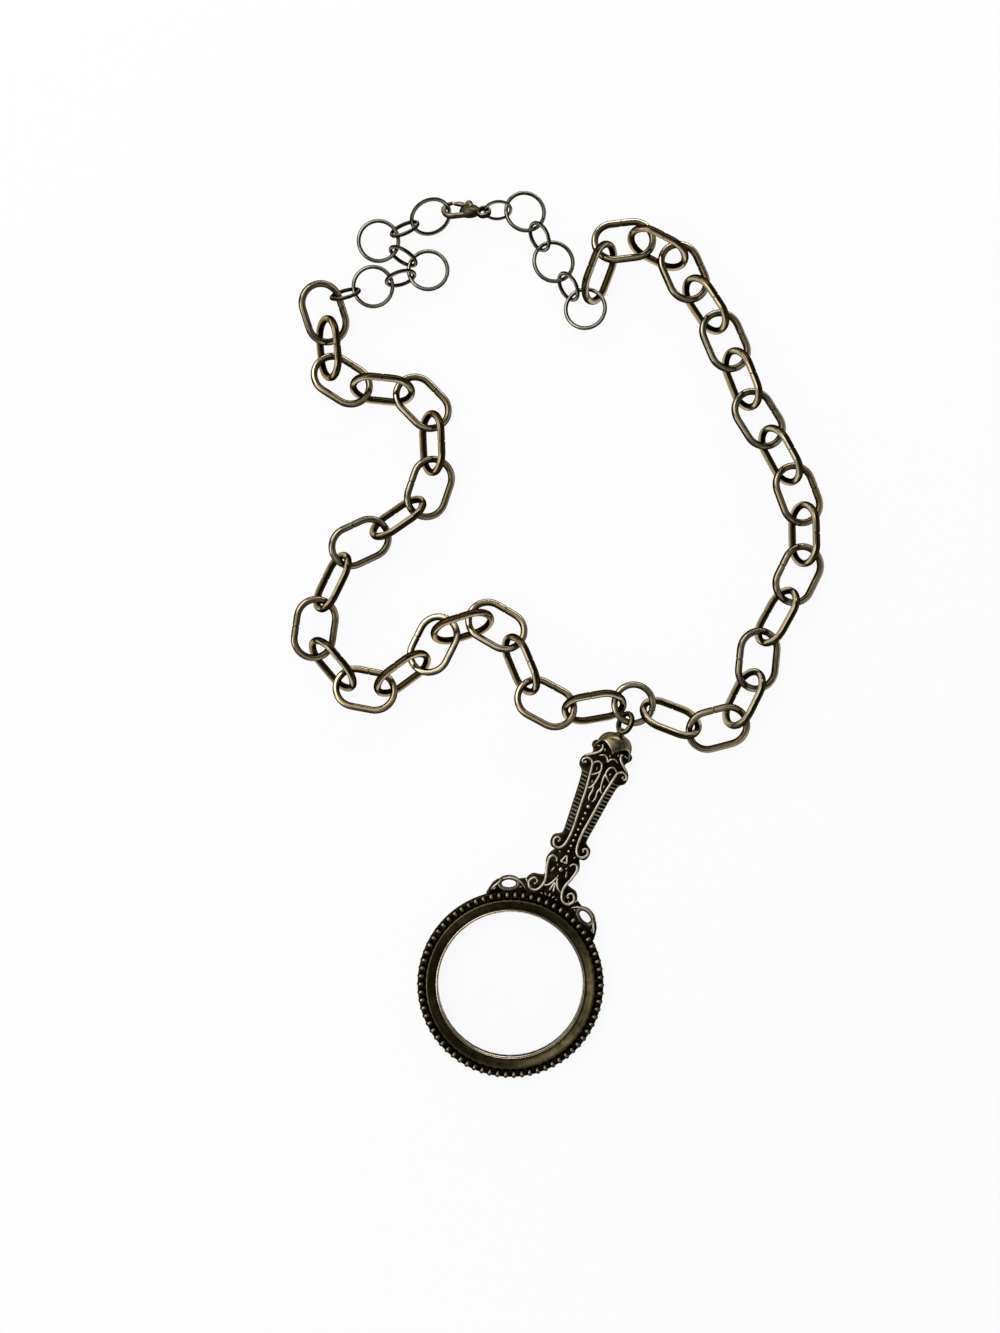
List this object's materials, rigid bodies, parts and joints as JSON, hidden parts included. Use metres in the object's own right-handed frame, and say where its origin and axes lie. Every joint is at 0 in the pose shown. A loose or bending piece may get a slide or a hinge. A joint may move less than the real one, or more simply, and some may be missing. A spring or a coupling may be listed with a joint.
{
  "type": "magnifier pendant necklace",
  "caption": "Long link-chain necklace whose pendant is a round magnifying lens in a beaded rim with a scrolled handle, closed by a lobster clasp on thin extender rings.",
  "frame": {"origin": "middle of the necklace's outline on the table it lies on", "axes": "+X to the right in the picture, +Y up in it, from the pendant to the clasp, +Z off the table"},
  "size_m": [0.1282, 0.2132, 0.0096],
  "materials": {
    "chain_brass": "antique, polished on the high places",
    "ring_brass": "antique, greyer",
    "cast_brass": "blackened casting with worn high places",
    "clasp_brass": "dark antique",
    "spring_steel": "bright",
    "glass": "clear polished"
  },
  "bodies": {
    "magnifier": {"magnifier_frame": "cast_brass", "lens": "glass", "lens_retaining_ring": "cast_brass"},
    "centre_ring": {"centre_ring": "chain_brass"},
    "right_link_01": {"right_link_01": "chain_brass"},
    "right_link_02": {"right_link_02": "chain_brass"},
    "right_link_03": {"right_link_03": "chain_brass"},
    "right_link_04": {"right_link_04": "chain_brass"},
    "right_link_05": {"right_link_05": "chain_brass"},
    "right_link_06": {"right_link_06": "chain_brass"},
    "right_link_07": {"right_link_07": "chain_brass"},
    "right_link_08": {"right_link_08": "chain_brass"},
    "right_link_09": {"right_link_09": "chain_brass"},
    "right_link_10": {"right_link_10": "chain_brass"},
    "right_link_11": {"right_link_11": "chain_brass"},
    "right_link_12": {"right_link_12": "chain_brass"},
    "right_link_13": {"right_link_13": "chain_brass"},
    "right_link_14": {"right_link_14": "chain_brass"},
    "right_link_15": {"right_link_15": "chain_brass"},
    "right_link_16": {"right_link_16": "chain_brass"},
    "right_link_17": {"right_link_17": "chain_brass"},
    "right_ring_1": {"right_ring_1": "ring_brass"},
    "right_ring_2": {"right_ring_2": "ring_brass"},
    "right_ring_3": {"right_ring_3": "ring_brass"},
    "right_ring_4": {"right_ring_4": "ring_brass"},
    "right_ring_5": {"right_ring_5": "ring_brass"},
    "right_ring_6": {"right_ring_6": "ring_brass"},
    "clasp": {"clasp_body": "clasp_brass", "clasp_rivet": "clasp_brass", "clasp_spring": "spring_steel"},
    "clasp_lever": {"clasp_lever": "clasp_brass"},
    "left_link_01": {"left_link_01": "chain_brass"},
    "left_link_02": {"left_link_02": "chain_brass"},
    "left_link_03": {"left_link_03": "chain_brass"},
    "left_link_04": {"left_link_04": "chain_brass"},
    "left_link_05": {"left_link_05": "chain_brass"},
    "left_link_06": {"left_link_06": "chain_brass"},
    "left_link_07": {"left_link_07": "chain_brass"},
    "left_link_08": {"left_link_08": "chain_brass"},
    "left_link_09": {"left_link_09": "chain_brass"},
    "left_link_10": {"left_link_10": "chain_brass"},
    "left_link_11": {"left_link_11": "chain_brass"},
    "left_link_12": {"left_link_12": "chain_brass"},
    "left_link_13": {"left_link_13": "chain_brass"},
    "left_link_14": {"left_link_14": "chain_brass"},
    "left_link_15": {"left_link_15": "chain_brass"},
    "left_link_16": {"left_link_16": "chain_brass"},
    "left_link_17": {"left_link_17": "chain_brass"},
    "left_link_18": {"left_link_18": "chain_brass"},
    "left_link_19": {"left_link_19": "chain_brass"},
    "left_link_20": {"left_link_20": "chain_brass"},
    "left_ring_1": {"left_ring_1": "ring_brass"},
    "left_ring_2": {"left_ring_2": "ring_brass"},
    "left_ring_3": {"left_ring_3": "ring_brass"},
    "left_ring_4": {"left_ring_4": "ring_brass"},
    "left_ring_5": {"left_ring_5": "ring_brass"},
    "left_ring_6": {"left_ring_6": "ring_brass"},
    "left_ring_7": {"left_ring_7": "ring_brass"},
    "left_ring_8": {"left_ring_8": "ring_brass"}
  },
  "joints": [
    {"name": "pendant_swing", "type": "hinge", "parent": "magnifier", "child": "centre_ring", "pos_m": [0.01663, -0.01988, 0.0048], "axis": [0.9164, -0.4003, 0], "range_deg": [0, 22]},
    {"name": "right_link_01_turn", "type": "hinge", "parent": "centre_ring", "child": "right_link_01", "pos_m": [0.02137, -0.01788, 0.00468], "axis": [-0.3738, 0.9275, -0.0064], "range_deg": [-10, 20]},
    {"name": "right_link_02_turn", "type": "hinge", "parent": "right_link_01", "child": "right_link_02", "pos_m": [0.0326, -0.02206, 0.00417], "axis": [0.4329, -0.9014, 0.0023], "range_deg": [-20, 20]},
    {"name": "right_link_03_turn", "type": "hinge", "parent": "right_link_02", "child": "right_link_03", "pos_m": [0.04052, -0.01827, 0.00321], "axis": [-0.4896, 0.8719, 0.0047], "range_deg": [-20, 20]},
    {"name": "right_link_04_turn", "type": "hinge", "parent": "right_link_03", "child": "right_link_04", "pos_m": [0.04431, -0.01106, 0.00217], "axis": [0.5336, -0.8456, -0.0126], "range_deg": [-20, 20]},
    {"name": "right_link_05_turn", "type": "hinge", "parent": "right_link_04", "child": "right_link_05", "pos_m": [0.04856, 0.0001, 0.0034], "axis": [-0.5961, 0.8029, 0.0036], "range_deg": [-20, 20]},
    {"name": "right_link_06_turn", "type": "hinge", "parent": "right_link_05", "child": "right_link_06", "pos_m": [0.05385, 0.0098, 0.00339], "axis": [0.66, -0.7512, -0.0038], "range_deg": [-20, 20]},
    {"name": "right_link_07_turn", "type": "hinge", "parent": "right_link_06", "child": "right_link_07", "pos_m": [0.05691, 0.02058, 0.00205], "axis": [-0.7185, 0.6954, 0.0155], "range_deg": [-20, 20]},
    {"name": "right_link_08_turn", "type": "hinge", "parent": "right_link_07", "child": "right_link_08", "pos_m": [0.05671, 0.02758, 0.00212], "axis": [0.7483, -0.6632, -0.0156], "range_deg": [-20, 20]},
    {"name": "right_link_09_turn", "type": "hinge", "parent": "right_link_08", "child": "right_link_09", "pos_m": [0.05342, 0.0384, 0.00229], "axis": [-0.7855, 0.6187, 0.0154], "range_deg": [-20, 20]},
    {"name": "right_link_10_turn", "type": "hinge", "parent": "right_link_09", "child": "right_link_10", "pos_m": [0.0494, 0.04573, 0.00239], "axis": [0.8064, -0.5911, -0.0155], "range_deg": [-20, 20]},
    {"name": "right_link_11_turn", "type": "hinge", "parent": "right_link_10", "child": "right_link_11", "pos_m": [0.04363, 0.05659, 0.0023], "axis": [-0.8426, 0.5382, 0.0186], "range_deg": [-20, 20]},
    {"name": "right_link_12_turn", "type": "hinge", "parent": "right_link_11", "child": "right_link_12", "pos_m": [0.04052, 0.06441, 0.00238], "axis": [0.8753, -0.4832, -0.0192], "range_deg": [-20, 20]},
    {"name": "right_link_13_turn", "type": "hinge", "parent": "right_link_12", "child": "right_link_13", "pos_m": [0.03539, 0.07509, 0.00204], "axis": [-0.9197, 0.3916, 0.0269], "range_deg": [-20, 20]},
    {"name": "right_link_14_turn", "type": "hinge", "parent": "right_link_13", "child": "right_link_14", "pos_m": [0.03169, 0.08072, 0.00206], "axis": [0.9416, -0.3356, -0.029], "range_deg": [-20, 20]},
    {"name": "right_link_15_turn", "type": "hinge", "parent": "right_link_14", "child": "right_link_15", "pos_m": [0.02472, 0.0898, 0.00193], "axis": [-0.9743, 0.2225, 0.0364], "range_deg": [-20, 20]},
    {"name": "right_link_16_turn", "type": "hinge", "parent": "right_link_15", "child": "right_link_16", "pos_m": [0.02124, 0.0916, 0.00193], "axis": [0.9784, -0.2028, -0.0392], "range_deg": [-20, 20]},
    {"name": "right_link_17_turn", "type": "hinge", "parent": "right_link_16", "child": "right_link_17", "pos_m": [0.0135, 0.09062, 0.00278], "axis": [-0.9647, 0.2619, 0.0257], "range_deg": [-20, 20]},
    {"name": "right_ring_1_turn", "type": "hinge", "parent": "right_link_17", "child": "right_ring_1", "pos_m": [0.0078, 0.08125, 0.00491], "axis": [0.862, -0.5062, 0.0263], "range_deg": [-20, 20]},
    {"name": "right_ring_2_turn", "type": "hinge", "parent": "right_ring_1", "child": "right_ring_2", "pos_m": [0.00403, 0.08126, 0.00435], "axis": [-0.8349, 0.5502, -0.0133], "range_deg": [-20, 20]},
    {"name": "right_ring_3_turn", "type": "hinge", "parent": "right_ring_2", "child": "right_ring_3", "pos_m": [0.00104, 0.08595, 0.00405], "axis": [0.872, -0.4894, 0.006], "range_deg": [-20, 20]},
    {"name": "right_ring_4_turn", "type": "hinge", "parent": "right_ring_3", "child": "right_ring_4", "pos_m": [-0.00309, 0.09303, 0.00428], "axis": [-0.9407, 0.3387, -0.0168], "range_deg": [-20, 20]},
    {"name": "right_ring_5_turn", "type": "hinge", "parent": "right_ring_4", "child": "right_ring_5", "pos_m": [-0.00589, 0.09788, 0.00431], "axis": [0.9846, -0.1734, 0.0213], "range_deg": [-20, 20]},
    {"name": "right_ring_6_turn", "type": "hinge", "parent": "right_ring_5", "child": "right_ring_6", "pos_m": [-0.01203, 0.10146, 0.00505], "axis": [-0.9967, 0.0058, -0.0807], "range_deg": [-20, 20]},
    {"name": "clasp_turn", "type": "hinge", "parent": "right_ring_6", "child": "clasp", "pos_m": [-0.01702, 0.10121, 0.00538], "axis": [0.9873, -0.0346, 0.1549], "range_deg": [-16, 16]},
    {"name": "clasp_lever_hinge", "type": "hinge", "parent": "clasp", "child": "clasp_lever", "pos_m": [-0.02091, 0.10201, 0.00428], "axis": [-0.1045, 0.5923, 0.7989], "range_deg": [0, 22], "stiffness_Nm_per_rad": 0.01},
    {"name": "left_link_01_turn", "type": "hinge", "parent": "centre_ring", "child": "left_link_01", "pos_m": [0.01451, -0.01681, 0.00491], "axis": [-0.3292, 0.9442, -0.0084], "range_deg": [-6, 16]},
    {"name": "left_link_02_turn", "type": "hinge", "parent": "left_link_01", "child": "left_link_02", "pos_m": [0.00268, -0.01757, 0.00499], "axis": [0.2399, -0.9708, 0.0093], "range_deg": [-20, 20]},
    {"name": "left_link_03_turn", "type": "hinge", "parent": "left_link_02", "child": "left_link_03", "pos_m": [-0.00803, -0.0129, 0.00352], "axis": [-0.1615, 0.9869, 0.0029], "range_deg": [-20, 20]},
    {"name": "left_link_04_turn", "type": "hinge", "parent": "left_link_03", "child": "left_link_04", "pos_m": [-0.01247, -0.00277, 0.00327], "axis": [0.1357, -0.9907, -0.0056], "range_deg": [-20, 20]},
    {"name": "left_link_05_turn", "type": "hinge", "parent": "left_link_04", "child": "left_link_05", "pos_m": [-0.02057, 0.00042, 0.00192], "axis": [-0.0611, 0.998, 0.0191], "range_deg": [-20, 20]},
    {"name": "left_link_06_turn", "type": "hinge", "parent": "left_link_05", "child": "left_link_06", "pos_m": [-0.02429, -0.00072, 0.00193], "axis": [0.0241, -0.9995, -0.0188], "range_deg": [-20, 20]},
    {"name": "left_link_07_turn", "type": "hinge", "parent": "left_link_06", "child": "left_link_07", "pos_m": [-0.03265, -0.00832, 0.00245], "axis": [0.0535, 0.9985, 0.0128], "range_deg": [-20, 20]},
    {"name": "left_link_08_turn", "type": "hinge", "parent": "left_link_07", "child": "left_link_08", "pos_m": [-0.03992, -0.01363, 0.00257], "axis": [-0.1135, -0.9935, -0.0111], "range_deg": [-20, 20]},
    {"name": "left_link_09_turn", "type": "hinge", "parent": "left_link_08", "child": "left_link_09", "pos_m": [-0.05286, -0.01175, 0.00238], "axis": [0.2245, 0.9744, 0.0127], "range_deg": [-20, 20]},
    {"name": "left_link_10_turn", "type": "hinge", "parent": "left_link_09", "child": "left_link_10", "pos_m": [-0.05855, -0.00488, 0.00297], "axis": [-0.2862, -0.9581, -0.008], "range_deg": [-20, 20]},
    {"name": "left_link_11_turn", "type": "hinge", "parent": "left_link_10", "child": "left_link_11", "pos_m": [-0.05697, 0.00724, 0.0048], "axis": [0.305, 0.9523, -0.0095], "range_deg": [-20, 20]},
    {"name": "left_link_12_turn", "type": "hinge", "parent": "left_link_11", "child": "left_link_12", "pos_m": [-0.05144, 0.0179, 0.00508], "axis": [-0.283, -0.959, 0.014], "range_deg": [-20, 20]},
    {"name": "left_link_13_turn", "type": "hinge", "parent": "left_link_12", "child": "left_link_13", "pos_m": [-0.04354, 0.02635, 0.00329], "axis": [0.2178, 0.976, 0.0074], "range_deg": [-20, 20]},
    {"name": "left_link_14_turn", "type": "hinge", "parent": "left_link_13", "child": "left_link_14", "pos_m": [-0.0356, 0.03222, 0.00265], "axis": [-0.1265, -0.9918, -0.0173], "range_deg": [-20, 20]},
    {"name": "left_link_15_turn", "type": "hinge", "parent": "left_link_14", "child": "left_link_15", "pos_m": [-0.032, 0.04117, 0.00256], "axis": [0.0865, 0.996, 0.0214], "range_deg": [-20, 20]},
    {"name": "left_link_16_turn", "type": "hinge", "parent": "left_link_15", "child": "left_link_16", "pos_m": [-0.03245, 0.05042, 0.00255], "axis": [-0.1107, -0.9935, -0.0253], "range_deg": [-20, 20]},
    {"name": "left_link_17_turn", "type": "hinge", "parent": "left_link_16", "child": "left_link_17", "pos_m": [-0.03828, 0.0563, 0.00229], "axis": [0.2466, 0.9685, 0.0336], "range_deg": [-20, 20]},
    {"name": "left_link_18_turn", "type": "hinge", "parent": "left_link_17", "child": "left_link_18", "pos_m": [-0.04674, 0.05723, 0.00248], "axis": [-0.4109, -0.9112, -0.0283], "range_deg": [-20, 20]},
    {"name": "left_link_19_turn", "type": "hinge", "parent": "left_link_18", "child": "left_link_19", "pos_m": [-0.05684, 0.06622, 0.00192], "axis": [0.6477, 0.7607, 0.0416], "range_deg": [-20, 20]},
    {"name": "left_link_20_turn", "type": "hinge", "parent": "left_link_19", "child": "left_link_20", "pos_m": [-0.0571, 0.07048, 0.00188], "axis": [-0.698, -0.7147, -0.0455], "range_deg": [-20, 20]},
    {"name": "left_ring_1_turn", "type": "hinge", "parent": "left_link_20", "child": "left_ring_1", "pos_m": [-0.05369, 0.08129, 0.00408], "axis": [0.7991, 0.6012, -0.0065], "range_deg": [-20, 20]},
    {"name": "left_ring_2_turn", "type": "hinge", "parent": "left_ring_1", "child": "left_ring_2", "pos_m": [-0.0484, 0.0824, 0.00427], "axis": [-0.7488, -0.6626, 0.0143], "range_deg": [-20, 20]},
    {"name": "left_ring_3_turn", "type": "hinge", "parent": "left_ring_2", "child": "left_ring_3", "pos_m": [-0.04053, 0.08471, 0.0043], "axis": [0.6328, 0.7741, -0.0205], "range_deg": [-20, 20]},
    {"name": "left_ring_4_turn", "type": "hinge", "parent": "left_ring_3", "child": "left_ring_4", "pos_m": [-0.03515, 0.08626, 0.00418], "axis": [-0.4809, -0.8766, 0.0183], "range_deg": [-20, 20]},
    {"name": "left_ring_5_turn", "type": "hinge", "parent": "left_ring_4", "child": "left_ring_5", "pos_m": [-0.03476, 0.08952, 0.00395], "axis": [0.5536, 0.8327, -0.0063], "range_deg": [-20, 20]},
    {"name": "left_ring_6_turn", "type": "hinge", "parent": "left_ring_5", "child": "left_ring_6", "pos_m": [-0.03964, 0.09225, 0.004], "axis": [-0.8107, -0.5854, 0.0088], "range_deg": [-20, 20]},
    {"name": "left_ring_7_turn", "type": "hinge", "parent": "left_ring_6", "child": "left_ring_7", "pos_m": [-0.0394, 0.09613, 0.00433], "axis": [0.9185, 0.3939, -0.0346], "range_deg": [-20, 20]},
    {"name": "left_ring_8_turn", "type": "hinge", "parent": "left_ring_7", "child": "left_ring_8", "pos_m": [-0.03433, 0.0985, 0.00433], "axis": [-0.9257, -0.3737, 0.0583], "range_deg": [-20, 20]}
  ]
}
